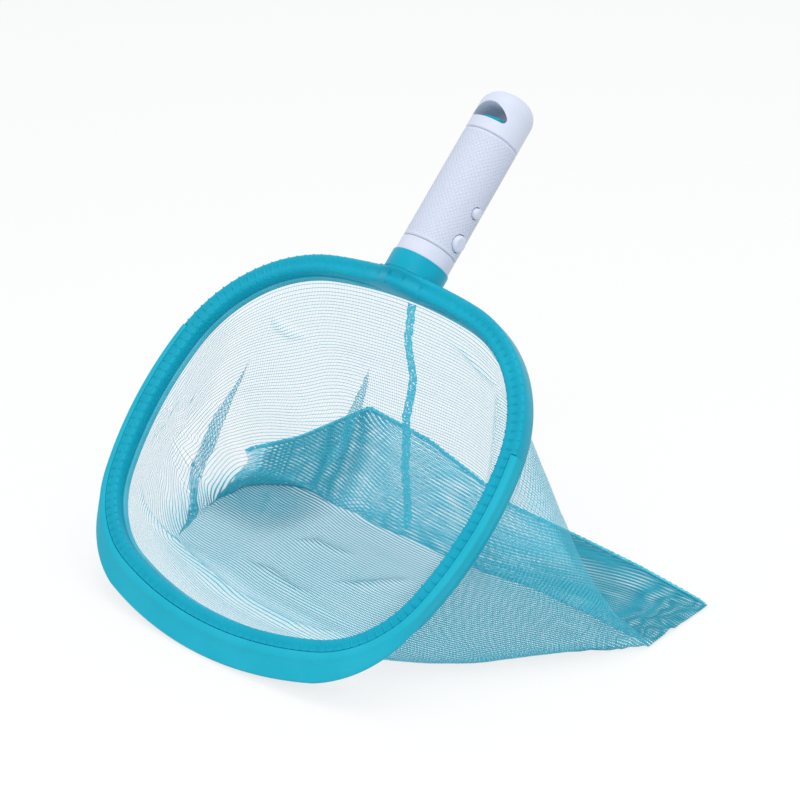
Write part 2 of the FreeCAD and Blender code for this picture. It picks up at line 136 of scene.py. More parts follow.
# The neck and the handle
AXIS_Z = -6.6
HANDLE_RADIUS = 14.25
COLLAR_RADIUS = 15.0
COLLAR_LENGTH = 8.3
COLLAR_EDGE = 0.6
COLLAR_STEPS = 96
NECK_LIFT = 6.0
NECK_LIFT_OUTSIDE = 2.8
NECK_WIDTH = 13.0
NECK_SPREAD = 4 * NECK_WIDTH
NECK_REACH = 3.2
NECK_BULGE = 1.4
NECK_BULGE_WIDTH = 18.0
NECK_BULGE_FROM = 3.0
SOCKET_RADIUS = 10.5
SOCKET_FLOOR = 0.2
SCREW_APART = 10.0
SCREW_AT = 4.2
SCREW_STEPS = 32
# A screw's countersink and bore: radius, start and end above the collar's wall
SCREW_HOLE = ((2.4, -9.0, 1.5), (1.3, 0.0, 4.5))
SCREW_WALL = 0.5
PIN_AT = 32.5
COLLAR_END = RIM_LENGTH / 2 + COLLAR_LENGTH
# The white grip's relief, which starts above the base ring
GRIP_FROM = COLLAR_END + 8.0
GRIP_LENGTH = 62.0
GRIP_PITCH = 2.36
GRIP_DEPTH = 0.12

# The hem round its cord, in the rim's section
CORD_RADIUS = 1.2
CORD_AT = (-6.0, -5.5)
HEM_FOLD = 0.5
HEM_CLOTH = 0.6
HEM_STEP = 3.0
MOUTH = 10.4
SKIRT_TOP = -6.7
SKIRT_END = -9.2

# The net's cut: a plain sock, one seam behind and a straight seam across its end
NET_SHORTEST = 152.0
NET_LONG = 180.0
NET_EASE = 5.0
END_WIDTH = 301.0
NET_STEP = 5.0
FINE_STEP = 1.5
PANELS = 4
THREAD_PITCH = 1.85
WARP_SHARE = 0.5
THREAD_DEEP = 0.14
NET_ABOVE = 0.5
LAYER_LIFT = 1.2
MOST_SLACK_RISE = 16.0
TAPE_WIDE = 5.2
TAPE_THICK = 0.7
TAPE_STEP = 2.0
# The tape's waves to the side: how wide, how often, from where
TAPE_WAVES = ((0.25, 0.9, 0.0), (0.2, 2.3, 1.0))
BINDING_WIDE = 1.3
BINDING_FOLDED = 2.6 * BINDING_WIDE
BINDING_STEP = 2.5
BINDING_RISE = 0.35
BINDING_OVER = 0.6
BINDING_UNDER = 0.4
STITCH_PITCH = 3.4

# Where the net lies on the floor, by its share from right to left or its quarter round: across, back, up
END_SEAM = [
    (0.0, (147, 128, 1.5)), (0.136, (108, 125, 8.5)), (0.268, (71, 122, 13)),
    (0.41, (30, 119, 17)), (0.488, (8, 117, 26)), (0.59, (-21, 115, 37)),
    (0.728, (-61, 112, 44)), (0.88, (-97, 97, 20)), (1.0, (-126, 85, 7)),
]
NET_ON_FLOOR = 0.8
CREASE = [(share, (x, y, NET_ON_FLOOR)) for share, x, y in (
    (0.0, 152, 77), (0.25, 78, 77), (0.5, 2, 74), (0.63, -30, 75), (0.8, -70, 73), (1.0, -123, 85),
)]
LANDING = [(quarter, (x, y, NET_ON_FLOOR)) for quarter, x, y in (
    (1.0, 152, 77), (1.12, 137, 57), (1.4, 106, 14), (1.55, 92, -1), (1.72, 70, -17), (2.0, 25, -21),
    (2.3, -22, -23), (2.6, -69, -14), (2.77, -88, -2), (3.02, -104, 38), (3.2, -101, 66),
)]
CREASE_FROM = 3.3
BAG_MIDDLE = Vector((0, 20, 0))
# The cut is the mean of this many lengths on each side, so far apart in quarters
CUT_MEANS = 3
CUT_APART = 0.06

# Folds in the net: how far off cloth is drawn in, and stops (round the bag from the neck, down it, how deep).
# A pleat lays the net over itself by its depth on each side of its line, and a ridge stands out by its depth.
PLEATS = [
    (36.0, [
        (527, 34, 0), (515, 49, 1.6), (503, 61, 3.6), (487, 73, 7.0),
        (474, 78, 6.0), (461, 77, 3.6), (440, 66, 1.8), (423, 52, 0),
    ]),
    (26.0, [
        (598, 44, 0), (594, 58, 1.8), (587, 73, 3.4), (579, 86, 4.4),
        (570, 97, 4.4), (560, 104, 3.0), (550, 109, 0),
    ]),
]
RIDGES = [
    (6.0, [(24, 11, 0), (36, 14, 1.2), (47, 17, 2.0), (58, 17, 1.6), (62, 18, 0)]),
    (6.0, [(539, 12, 0), (543, 21, 1.6), (549, 28, 1.8), (560, 32, 0)]),
    (6.0, [(62, 18, 0), (60, 26, 1.6), (56, 39, 1.8), (50, 59, 1.8), (45, 80, 1.6), (36, 104, 0)]),
    (7.0, [
        (434, 20, 0), (427, 26, 1.6), (423, 39, 2.2), (414, 47, 2.8), (390, 43, 2.6),
        (365, 41, 2.4), (345, 45, 2.0), (318, 44, 1.6), (292, 58, 0),
    ]),
    (9.0, [(600, 104, 0), (602, 121, 2.2), (606, 140, 0)]),
    (9.0, [(618, 98, 0), (630, 111, 2.4), (645, 122, 0)]),
    (8.0, [(378, 98, 0), (362, 110, 1.6), (344, 114, 1.3), (330, 118, 0)]),
    (8.0, [(330, 88, 0), (312, 98, 1.7), (300, 112, 1.4), (290, 122, 0)]),
    (8.0, [(385, 66, 0), (362, 72, 1.5), (340, 70, 1.2), (322, 76, 0)]),
    (9.0, [(404, 96, 0), (420, 116, 1.6), (436, 130, 0)]),
]
RIDGE_ROUND = 1.6
SHALLOW = 0.05
SEAM_LINE = [(5, 1), (0, 22), (0, 45), (-6, 70), (-9, 101), (-7, 136)]

# How much closer the threads lie than in the walls, where the net is in folds too small to model. Near the
# floor this also stands in for the threads' shadows on it, and in the floor's left corner and along the
# folds' lines for shade: painted shadow and painted shade.
FLOOR_FOLDS_AND_SHADOW = 2.5
CORNER_FOLDS_AND_SHADE = 2.4
OUTSIDE_FOLDS = 1.1
FRONT_SHARE = 0.55
FLAP_FOLDS = 1.6
TAIL_FOLDS = 2.4
LEFT_FOLDS = 2.9
RIGHT_FOLDS = 0.7
CREASE_FOLDS_AND_SHADE = 0.9
# Where each of these starts and over how far it rises, across, back and up or round the bag and down it
NEAR_FLOOR = (16, -15)
PAST_CREASE = (-3, 7)
TAIL_AT = Vector((69, 122))
TAIL_WAY = Vector((0.477, 0.879))
TAIL_PAST = (-9, 5)
LEFT_ACROSS = (-35, -45)
TIP_ACROSS = (-124, 22)
FRONT_DOWN = (58, -14)
FRONT_ROUND = ((280, 20), (450, -20))
CORNER_ACROSS = (-45, -30)
CORNER_BACK = (20, 35)
RIGHT_ROUND = ((63, 4), (185, -20))
RIGHT_DOWN = (12, 8)
RIGHT_LEANS = (17, 0.27)
OUTSIDE_ROUND = ((155, 20), (296, -20))
CREASE_REACH = 1.4

# How the net settles, as cloth ten times its size, and how it is evened out after that
CLOTH_SCALE = 0.01
CLOTH_FRAMES = 30
CLOTH = {
    "quality": 8,
    "mass": 0.05,
    "tension_stiffness": 40,
    "compression_stiffness": 30,
    "shear_stiffness": 6,
    "bending_stiffness": 0.6,
    "tension_damping": 15,
    "compression_damping": 15,
    "shear_damping": 10,
    "bending_damping": 1,
    "air_damping": 3,
}
GROUND_THICK = 0.005
GROUND_FRICTION = 40
CLOTH_CLEAR = 0.008
EVENED = 12
MOST_EVENED = 0.5
EVENED_RISE = 0.06
CORNER_KEPT = 3

# Colours
TURQUOISE = (0.003, 0.34, 0.48)
TURQUOISE_PALE = (0.005, 0.38, 0.52)
LIP_BLUE = (0.012, 0.40, 0.54)
LIP_PALE = (0.02, 0.44, 0.58)
WHITE = (0.61, 0.66, 0.78)
WHITE_PALE = (0.66, 0.70, 0.81)
# Painted shade: the white darkened in the grip's grooves
WHITE_PAINTED_GROOVE_SHADE = (0.45, 0.50, 0.63)
STEEL = (0.55, 0.55, 0.56)
STEEL_PALE = (0.65, 0.65, 0.66)
THREAD = (0.05, 0.42, 0.55)
THREAD_PALE = (0.12, 0.52, 0.64)
# Painted shade: the threads' colour where the net lies thickest
THREAD_PAINTED_SHADE = (0.028, 0.285, 0.38)
STITCH = (0.72, 0.86, 0.90)

# Moulded plastic: its noises (scale, detail, roughness), their edges, and how much each shows
CLOUDS = (0.045, 4.0)
CLOUD_EDGES = (0.35, 0.7)
GRAIN = (2.4, 2.0)
SCUFFS = (0.35, 5.0, 0.65)
SCUFF_EDGES = (0.56, 0.72)
CLOUD_PALER = 0.6
SCUFF_PALER = 0.25
CLOUD_ROUGHER = 0.12
SCUFF_ROUGHER = 0.08
GRAIN_RELIEF = 0.6
CLOUD_RELIEF = 2.0
# The grip relief's edges and grooves, and how much painted shade darkens its grooves
GRIP_EDGE = (1.6, 1.9)
GRIP_GROOVE = 0.26
GRIP_PAINTED_SHADE = 0.3

# The net's threads: their noises (scale in turns a metre, detail), and how much each shows
FIBRES = (900.0, 2.0)
FIBRE_EDGES = (0.35, 0.7)
GATHERS = (45.0, 3.0)
GATHERS_LEAST = 0.85
GATHERS_VARY = 0.3
WEFT_GATHERS = 1.25
WARP_GATHERS = 0.6
# Over which thread density the painted shade comes in
PAINTED_SHADE_EDGES = (2.6, 4.6)
DRIFTS = (60.0, 2.0)
WEFT_DRIFT = 0.25
WARP_DRIFT = 0.7
KNOT = 0.012
FUZZ = (700.0, 1.0)
FUZZ_EDGE = 0.04
STITCH_SHARE = 0.27
STITCH_HALF = 0.4
THREAD_RELIEF = 0.12
# Painted light: how strongly the threads glow in their own colour, though they are no lamp
THREAD_PAINTED_GLOW = 0.22

# The stage
FLOOR = (0.9, 0.9, 0.9)
FLOOR_HALF = 3.0
FLOOR_TO_CAMERA = 0.75
ROOM = (0.95, 0.97, 1.0)
ROOM_LIGHT = 0.66
LIGHTS_AIM = Vector((0.0, 0.0, 0.1))


def turned(angle):
    return Vector((math.sin(math.radians(angle)), math.cos(math.radians(angle)), 0))


def angle_of(direction):
    return math.degrees(math.atan2(direction.x, direction.y))


def inner_centre(first, first_radius, second, second_radius):
    """The centre of the arc that touches two others from inside, on the right."""
    between = second - first
    along = (first_radius**2 - second_radius**2 + between.length**2) / (2 * between.length)
    aside = math.sqrt(first_radius**2 - along**2)
    across = Vector((-between.y, between.x, 0)) / between.length
    places = [first + between.normalized() * along + across * k for k in (aside, -aside)]
    return max(places, key=lambda place: place.x)


def outline(side=0.0, reach=0.0):
    """The rim's outline clockwise from the neck's left as arcs (centre, radius, start, end)."""
    near = Vector((0, RIM_LENGTH / 2 + side - NEAR_RADIUS, 0))
    middle = Vector((RIM_WIDTH / 2 + side - SIDE_RADIUS, WIDEST_AT, 0))
    far = Vector((0, FAR_RADIUS - RIM_LENGTH / 2 - reach, 0))
    shoulder = inner_centre(near, NEAR_RADIUS - SHOULDER_RADIUS, middle, SIDE_RADIUS - SHOULDER_RADIUS)
    corner = inner_centre(middle, SIDE_RADIUS - CORNER_RADIUS, far, FAR_RADIUS - CORNER_RADIUS)
    ends = [angle_of(d) for d in (shoulder - near, shoulder - middle, corner - middle, corner - far)]
    right = [
        (shoulder, SHOULDER_RADIUS, ends[0], ends[1]),
        (middle, SIDE_RADIUS, ends[1], ends[2]),
        (corner, CORNER_RADIUS, ends[2], ends[3]),
    ]
    left = [(Vector((-c.x, c.y, 0)), r, 360 - end, 360 - start) for c, r, start, end in reversed(right)]
    near_arc = (near, NEAR_RADIUS, -ends[0], ends[0])
    far_arc = (far, FAR_RADIUS, ends[3], 360 - ends[3])
    return [near_arc, *right, far_arc, *left]


RIM_ARCS = outline()


def rim_middle():
    """Where the rim's middle lies in the frame, from the rim's box and the lock pin's."""
    low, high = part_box("rim_frame")
    pin_low, pin_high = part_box("lock_pin_right")
    pin = (pin_low + pin_high) / 2
    lean = Matrix.Rotation(math.radians(LEAN), 3, "X")
    along = lean @ Vector((0, COLLAR_END + PIN_AT, AXIS_Z)) * MM
    return Vector(((low.x + high.x) / 2, pin.y - along.y, pin.z - along.z))


MIDDLE = rim_middle()
LEANED = Matrix.Translation(MIDDLE) @ Matrix.Rotation(math.radians(LEAN), 4, "X") @ Matrix.Scale(MM, 4)
ON_FLOOR = Matrix.Translation((MIDDLE.x, MIDDLE.y, 0)) @ Matrix.Scale(MM, 4)
RIM_TO_FLOOR = ON_FLOOR.inverted() @ LEANED


# Shader maths


class Signal:
    """A shader socket that adds, multiplies and compares like a number."""

    def __init__(self, finish, socket):
        self.finish = finish
        self.socket = socket

    def maths(self, operation, *others):
        return self.finish.node("ShaderNodeMath", self, *others, operation=operation)

    def reflected(self, operation, other):
        return self.finish.node("ShaderNodeMath", other, self, operation=operation)

    def __add__(self, other):
        return self.maths("ADD", other)

    def __radd__(self, other):
        return self.reflected("ADD", other)

    def __sub__(self, other):
        return self.maths("SUBTRACT", other)

    def __rsub__(self, other):
        return self.reflected("SUBTRACT", other)

    def __mul__(self, other):
        return self.maths("MULTIPLY", other)

    def __rmul__(self, other):
        return self.reflected("MULTIPLY", other)

    def __truediv__(self, other):
        return self.maths("DIVIDE", other)

    def __lt__(self, other):
        return self.maths("LESS_THAN", other)

    def __abs__(self):
        return self.maths("ABSOLUTE")

    def wave(self, pitch):
        """How far from the nearest line of a row at this pitch, from 0 on a line to 0.5 between."""
        return abs((self / pitch + 0.5).maths("FRACT") - 0.5)

    def fade(self, low, high):
        """From 0 below low to 1 above high, smoothly."""
        return self.finish.node(
            "ShaderNodeMapRange", self, low, high, 0.0, 1.0, interpolation_type="SMOOTHSTEP", clamp=True
        )


class Finish:
    """A material, with the fixed values of its shader set on the shader's own sockets."""

    def __init__(self, name, colour, roughness, **fixed):
        self.material = bpy.data.materials.new(name)
        self.material.use_nodes = True
        self.nodes = self.material.node_tree.nodes
        self.links = self.material.node_tree.links
        self.shader = self.nodes["Principled BSDF"]
        self.set("Base Color", (*colour, 1))
        self.set("Roughness", roughness)
        for socket, value in fixed.items():
            self.set(socket.replace("_", " "), value)

    def put(self, socket, value):
        if isinstance(value, Signal):
            self.links.new(value.socket, socket)
        else:
            socket.default_value = value

    def set(self, name, value):
        self.put(self.shader.inputs[name], value)

    def node(self, kind, *values, out="", **settings):
        """A node of this kind: its settings first, then its sockets in order. None leaves a socket alone."""
        node = self.nodes.new(kind)
        for name, value in settings.items():
            setattr(node, name, value)
        sockets = [socket for socket in node.inputs if socket.enabled]
        for socket, value in zip(sockets, values):
            if value is not None:
                self.put(socket, value)
        outputs = [socket for socket in node.outputs if socket.enabled and out in ("", socket.name)]
        return Signal(self, outputs[0])

    def place(self):
        """The object's coordinates in millimetres, in the rim's own axes."""
        point = self.node("ShaderNodeTexCoord", out="Object")
        turn = (math.radians(LEAN), 0, 0)
        return self.node("ShaderNodeMapping", point, MIDDLE, turn, (MM, MM, MM), vector_type="TEXTURE")

    def parts(self, vector):
        first = self.node("ShaderNodeSeparateXYZ", vector)
        return [Signal(self, socket) for socket in first.socket.node.outputs]

    def noise(self, vector, scale, detail=3.0, roughness=0.5):
        return self.node("ShaderNodeTexNoise", vector, scale, detail, roughness)

    def mix(self, share, *colours):
        """From the first colour to the second, by this share of the way."""
        colours = [colour if isinstance(colour, Signal) else (*colour, 1) for colour in colours]
        return self.node("ShaderNodeMix", share, *colours, data_type="RGBA")

    def bump(self, height, depth):
        """Relief of this height signal, depth in millimetres."""
        self.set("Normal", self.node("ShaderNodeBump", None, depth * MM, None, height))


def moulded(name, colour, paler, roughness, grain=0.02, **fixed):
    """Moulded plastic: slightly cloudy in colour and gloss, with a fine grain and faint scuffs."""
    finish = Finish(name, colour, roughness, **fixed)
    place = finish.place()
    cloud = finish.noise(place, *CLOUDS)
    fine = finish.noise(place, *GRAIN)
    scuff = finish.noise(place, *SCUFFS).fade(*SCUFF_EDGES)
    pale = cloud.fade(*CLOUD_EDGES) * CLOUD_PALER + scuff * SCUFF_PALER
    finish.set("Base Color", finish.mix(pale, colour, paler))
    finish.set("Roughness", roughness + (cloud - 0.5) * CLOUD_ROUGHER + scuff * SCUFF_ROUGHER)
    finish.bump(fine * GRAIN_RELIEF + cloud * CLOUD_RELIEF, grain)
    return finish


def white_grip():
    """White plastic with a fine diamond relief round the handle, between its plain ends, with painted shade
    in the relief's grooves.
    """
    finish = moulded("white_grip", WHITE, WHITE_PALE, 0.45, Specular_IOR_Level=0.25)
    x, y, z = finish.parts(finish.place())
    turn = x.maths("ARCTAN2", z - AXIS_Z) * HANDLE_RADIUS
    groove = (turn + y).wave(GRIP_PITCH).maths("MINIMUM", (turn - y).wave(GRIP_PITCH))
    inside = (y - GRIP_FROM).fade(*GRIP_EDGE) * (GRIP_FROM + GRIP_LENGTH - y).fade(*GRIP_EDGE)
    relief = groove.fade(0.0, GRIP_GROOVE) * inside + (1 - inside)
    # Painted shade: the white is darkened in the relief's grooves, where shade falls
    finish.set("Base Color", finish.mix((1 - relief) * GRIP_PAINTED_SHADE, WHITE, WHITE_PAINTED_GROOVE_SHADE))
    finish.bump(relief, GRIP_DEPTH)
    return finish.material


def net_cloth(name, weft, warp, cover=0.0, stitched=False):
    """Knitted mesh: strong threads round the bag, thinner ones down it, on the piece's own map in metres,
    darkened as painted shade where they lie closest, and glowing in their own colour as painted light.
    """
    finish = Finish(name, THREAD, 0.6, Specular_IOR_Level=0.2)
    place = finish.node("ShaderNodeTexCoord", out="UV")
    shade = finish.mix(finish.noise(place, *FIBRES).fade(*FIBRE_EDGES), THREAD, THREAD_PALE)
    if not cover:
        # Where the threads lie closer, partly for small folds and partly as painted shadow and shade, they
        # widen; where closest, their colour darkens as painted shade
        density_and_shade = finish.node("ShaderNodeAttribute", out="Fac", attribute_name="folds_and_painted_shade")
        cloudy = (density_and_shade - 1) * (GATHERS_LEAST + finish.noise(place, *GATHERS) * GATHERS_VARY)
        weft = weft * (1 + cloudy * WEFT_GATHERS)
        warp = warp * (1 + cloudy * WARP_GATHERS)
        shade = finish.mix(density_and_shade.fade(*PAINTED_SHADE_EDGES), shade, THREAD_PAINTED_SHADE)
    u, v, _ = finish.parts(place)
    drift = (finish.noise(place, *DRIFTS) - 0.5) * (WEFT_DRIFT * MM)
    round_bag = (v + drift).wave(THREAD_PITCH * MM)
    down_bag = (u + drift * WARP_DRIFT).wave(THREAD_PITCH * WARP_SHARE * MM)
    knots = (1 - down_bag * 2) * KNOT
    across = round_bag < weft * (0.5 / THREAD_PITCH) + knots
    thread = across.maths("MAXIMUM", down_bag < warp * (0.5 / THREAD_PITCH / WARP_SHARE))
    if cover:
        thread = thread.maths("MAXIMUM", finish.noise(place, *FUZZ).fade(1 - cover, 1 + FUZZ_EDGE - cover))
    if stitched:
        stitch = (v.wave(STITCH_PITCH * MM) < STITCH_SHARE) * (abs(u - BINDING_WIDE * MM) < STITCH_HALF * MM)
        thread = thread.maths("MAXIMUM", stitch)
        shade = finish.mix(stitch, shade, STITCH)
    finish.set("Alpha", thread)
    finish.set("Base Color", shade)
    # Painted light: the threads glow in their own colour, lifting them out of shade
    finish.set("Emission Color", shade)
    finish.set("Emission Strength", THREAD_PAINTED_GLOW)
    finish.bump((1 - round_bag * 2) + (1 - down_bag * 2) * 0.5, THREAD_RELIEF)
    return finish.material


MATERIALS = {
    "turquoise": moulded("turquoise", TURQUOISE, TURQUOISE_PALE, 0.36, Specular_IOR_Level=0.14).material,
    "soft_lip": moulded("soft_lip", LIP_BLUE, LIP_PALE, 0.5, 0.03, Specular_IOR_Level=0.12).material,
    "white": moulded("white", WHITE, WHITE_PALE, 0.4, Specular_IOR_Level=0.25).material,
    "white_grip": white_grip(),
    "net": net_cloth("net", 0.155, 0.065),
    "tape": net_cloth("tape", 0.55, 0.3, cover=0.6),
    "bound_edge": net_cloth("bound_edge", 0.55, 0.3, cover=0.6, stitched=True),
    "cord": moulded("cord", THREAD, THREAD_PALE, 0.7, 0.1).material,
    "steel": moulded("steel", STEEL, STEEL_PALE, 0.3, Metallic=1.0).material,
}


# Meshes


def new_object(name, shape):
    """An object in the scene whose mesh is this shape, which is freed."""
    mesh = bpy.data.meshes.new(name)
    shape.to_mesh(mesh)
    shape.free()
    return linked(name, mesh)


def linked(name, data, place=(0, 0, 0), turn=Matrix.Identity(3)):
    """An object in the scene that shows this mesh, camera or lamp."""
    made = bpy.data.objects.new(name, data)
    made.matrix_world = Matrix.Translation(place) @ turn.to_4x4()
    bpy.context.scene.collection.objects.link(made)
    return made


def piece(name, shape, material, slot, *nodes, smooth=SHARP):
    """Closes a shape that is drawn in place, and gives it its finish and its body. Its slot is not used."""
    made = new_object(name, shape)
    made.data.shade_smooth()
    made.data.set_sharp_from_angle(angle=smooth)
    made.data.materials.append(MATERIALS[material])
    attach(made, BODY)
    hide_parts(*nodes)
    return made


def closed(shape, near=NEAR):
    """Joins a shape's double vertices and points its faces outwards."""
    bmesh.ops.remove_doubles(shape, verts=shape.verts, dist=near)
    bmesh.ops.recalc_face_normals(shape, faces=shape.faces)
    return shape


def cut_off(shape, place, way, near=NEAR):
    """Takes off what lies beyond a plane, and fills the cut."""
    geom = [*shape.verts, *shape.edges, *shape.faces]
    bmesh.ops.bisect_plane(shape, geom=geom, dist=near, plane_co=place, plane_no=way, clear_outer=True)
    bmesh.ops.holes_fill(shape, edges=[edge for edge in shape.edges if edge.is_boundary])


def spun(shape, edges, centre, axis, angle, steps, merged=False):
    """Spins edges about an axis, and returns where they end."""
    turn = bmesh.ops.spin(
        shape,
        geom=edges,
        cent=centre,
        axis=axis,
        dvec=(0, 0, 0),
        angle=angle,
        steps=steps,
        use_merge=merged,
        use_duplicate=False,
    )
    return [part for part in turn["geom_last"] if isinstance(part, bmesh.types.BMEdge)]


def section(shape, corners, place):
    """The closed outline of a section, its corners (outward, height, radius) rounded."""
    verts = [shape.verts.new(place(n, z)) for n, z, _ in corners]
    shape.faces.new(verts)
    for radius in sorted({corner[2] for corner in corners if corner[2]}):
        chosen = [vert for vert, corner in zip(verts, corners) if corner[2] == radius]
        steps = 4 if radius > WIDE_ROUND else 2
        bmesh.ops.bevel(
            shape, geom=chosen, offset=radius, affect="VERTICES", segments=steps, profile=0.5, material=-1
        )
    edges = list(shape.edges)
    bmesh.ops.delete(shape, geom=list(shape.faces), context="FACES_ONLY")
    return edges


def swept(corners, pitch, each=1, on_turn=None):
    """A ring of this section round the rim's outline, in steps near this pitch, each of so many parts."""
    shape = bmesh.new()
    centre, radius, start, _ = RIM_ARCS[0]
    edges = section(shape, corners, lambda n, z: centre + turned(start) * (radius + n) + Vector((0, 0, z)))
    for centre, radius, start, end in RIM_ARCS:
        angle = math.radians(end - start)
        steps = each * max(1, round(angle * radius / pitch))
        before = set(shape.faces)
        edges = spun(shape, edges, centre, (0, 0, -1), angle, steps)
        if on_turn:
            on_turn(set(shape.faces) - before, centre, start, end, steps)
    return closed(shape, NEAR_IN_RING)


def raise_ribs(faces, centre, start, end, steps):
    """Raises one line of vertices in every few across the crown's channel, as a fine rib."""
    for vert in {vert for face in faces for vert in face.verts}:
        if not -CHANNEL_DEPTH - NEAR_IN_RING < vert.co.z < -CHANNEL_FROM:
            continue
        turn = (angle_of(vert.co - centre) - start) % 360
        step = round(turn / (end - start) * steps)
        at_neck = abs(vert.co.x) < NECK_PLAIN and vert.co.y > 0
        if step % STEPS_A_RIB == STEPS_A_RIB // 2 and not at_neck:
            vert.co.z = RIB_TOP
        if step % (2 * STEPS_A_RIB) == STEPS_A_RIB // 2 and at_neck:
            vert.co.z = NECK_RIB_TOP


def outward_of_rim(vert):
    """How far outward of the rim's outline a vertex lies, from the arc that it belongs to."""
    flat = Vector((vert.co.x, vert.co.y, 0))
    found = []
    for centre, radius, start, end in RIM_ARCS:
        turn = (angle_of(flat - centre) - start) % 360
        if turn <= end - start + ANGLE_NEAR or turn > 360 - ANGLE_NEAR:
            found.append((flat - centre).length - radius)
    return min(found, key=abs, default=-BAND)


def make_rim():
    """The channel round the mouth, its ribbed crown, and the swollen neck with the handle's collar."""
    ring = swept(RIM_SECTION, RIB_PITCH, STEPS_A_RIB, raise_ribs)
    hook_floor = -LIP_HOOK_DEPTH - FIT
    for vert in ring.verts:
        x, y, z = vert.co
        outward = outward_of_rim(vert)
        if y < LIP_END + FIT and z > hook_floor and outward > -LIP_HOOK - FIT:
            vert.co.z = hook_floor
        if y < 0 or abs(x) > NECK_SPREAD:
            continue
        if z > -NECK_REACH:
            lift = NECK_LIFT + NECK_LIFT_OUTSIDE * min(1, max(0, 1 + outward / BAND))
            lift *= math.exp(-((x / NECK_WIDTH) ** 2)) * min(1, 1 + z / NECK_REACH)
            vert.co.z += lift
        if outward < NECK_BULGE_FROM - BAND:
            vert.co.y -= NECK_BULGE * math.exp(-((x / NECK_BULGE_WIDTH) ** 2))
    body = piece("rim", ring, "turquoise", "turquoise", "rim_frame")
    tools = [("UNION", make_collar()), ("DIFFERENCE", make_screw_holes())]
    for operation, tool in tools:
        modifier = body.modifiers.new(tool.name, "BOOLEAN")
        modifier.operation = operation
        modifier.solver = "EXACT"
        modifier.object = tool
    mesh = bpy.data.meshes.new_from_object(body.evaluated_get(bpy.context.evaluated_depsgraph_get()))
    body.modifiers.clear()
    body.data = mesh
    for _, tool in tools:
        bpy.data.objects.remove(tool)
    mesh.transform(LEANED)
    mesh.shade_smooth()
    mesh.set_sharp_from_angle(angle=SHARP)


def make_collar():
    """The collar: a tube with a rounded end, closed inside the rim, spun round the handle's axis."""
    shape = bmesh.new()
    start = RIM_LENGTH / 2 - OUTER_WALL
    floor = RIM_LENGTH / 2 + SOCKET_FLOOR
    corners = [
        (0, start),
        (COLLAR_RADIUS - COLLAR_EDGE, start),
        (COLLAR_RADIUS, start + COLLAR_EDGE),
        (COLLAR_RADIUS, COLLAR_END - COLLAR_EDGE),
        (COLLAR_RADIUS - 0.3 * COLLAR_EDGE, COLLAR_END - 0.3 * COLLAR_EDGE),
        (COLLAR_RADIUS - COLLAR_EDGE, COLLAR_END),
        (SOCKET_RADIUS, COLLAR_END),
        (SOCKET_RADIUS, floor),
        (0, floor),
    ]
    verts = [shape.verts.new((radius, y, AXIS_Z)) for radius, y in corners]
    edges = [shape.edges.new(pair) for pair in zip(verts, verts[1:])]
    spun(shape, edges, (0, 0, AXIS_Z), (0, 1, 0), math.tau, COLLAR_STEPS, merged=True)
    return new_object("collar", closed(shape))


def make_screw_holes():
    """The two countersunk holes in the back of the collar."""
    shape = bmesh.new()
    for x in (-SCREW_APART / 2, SCREW_APART / 2):
        wall = AXIS_Z - math.sqrt(COLLAR_RADIUS**2 - x * x) + SCREW_WALL
        for radius, low, high in SCREW_HOLE:
            bmesh.ops.create_cone(
                shape,
                cap_ends=True,
                segments=SCREW_STEPS,
                radius1=radius,
                radius2=radius,
                depth=high - low,
                matrix=Matrix.Translation((x, COLLAR_END - SCREW_AT, wall + (low + high) / 2)),
            )
    return new_object("screw_holes", shape)


def stations(arcs, counts):
    """Places and outward directions along the arcs, a fixed count of steps on each."""
    for (centre, radius, start, end), count in zip(arcs, counts):
        for step in range(count):
            out = turned(start + (end - start) * step / count)
            yield centre + out * radius, out


def lofted(rows):
    """A sheet through rows of places, every row with as many."""
    shape = bmesh.new()
    shape.loops.layers.uv.new("map")
    across, down = len(rows[0]) - 1, len(rows) - 1
    bmesh.ops.create_grid(shape, x_segments=across, y_segments=down, size=0.5, calc_uvs=True)
    for vert in shape.verts:
        i = round((vert.co.x + 0.5) * across)
        j = round((vert.co.y + 0.5) * down)
        vert.co = rows[j][i]
    return shape


def lip_section(reach):
    """The lip's section where it reaches this far outward, as corners (outward, height)."""
    top = LIP_TOP_LEAST + (LIP_TOP_REACH - LIP_TOP_LEAST) * min(1, reach / LIP_REACH)
    slope = reach - top
    drop = -LIP_DROP - LIP_TOP
    under = -LIP_DROP - LIP_EDGE
    return [
        (-LIP_HOOK, -LIP_HOOK_DEPTH),
        (-LIP_HOOK, -0.25),
        (-LIP_HOOK + 0.08, -0.07),
        (-LIP_HOOK + 0.25, 0.02),
        (-1.4, 0.06),
        (top - 1.3, -0.06),
        (top - 0.55, -0.42),
        (top, LIP_TOP),
        (top + slope * 0.33, LIP_TOP + drop * 0.3),
        (top + slope * 0.66, LIP_TOP + drop * 0.63),
        (reach - 0.35, -LIP_DROP + 0.25),
        (reach - 0.05, -LIP_DROP - 0.25),
        (reach, under + 0.7),
        (reach - 0.25, under + 0.2),
        (reach - min(0.8, reach * 0.5), under),
        (FIT, under),
        (FIT, -LIP_HOOK_DEPTH),
        (-LIP_HOOK, -LIP_HOOK_DEPTH),
    ]


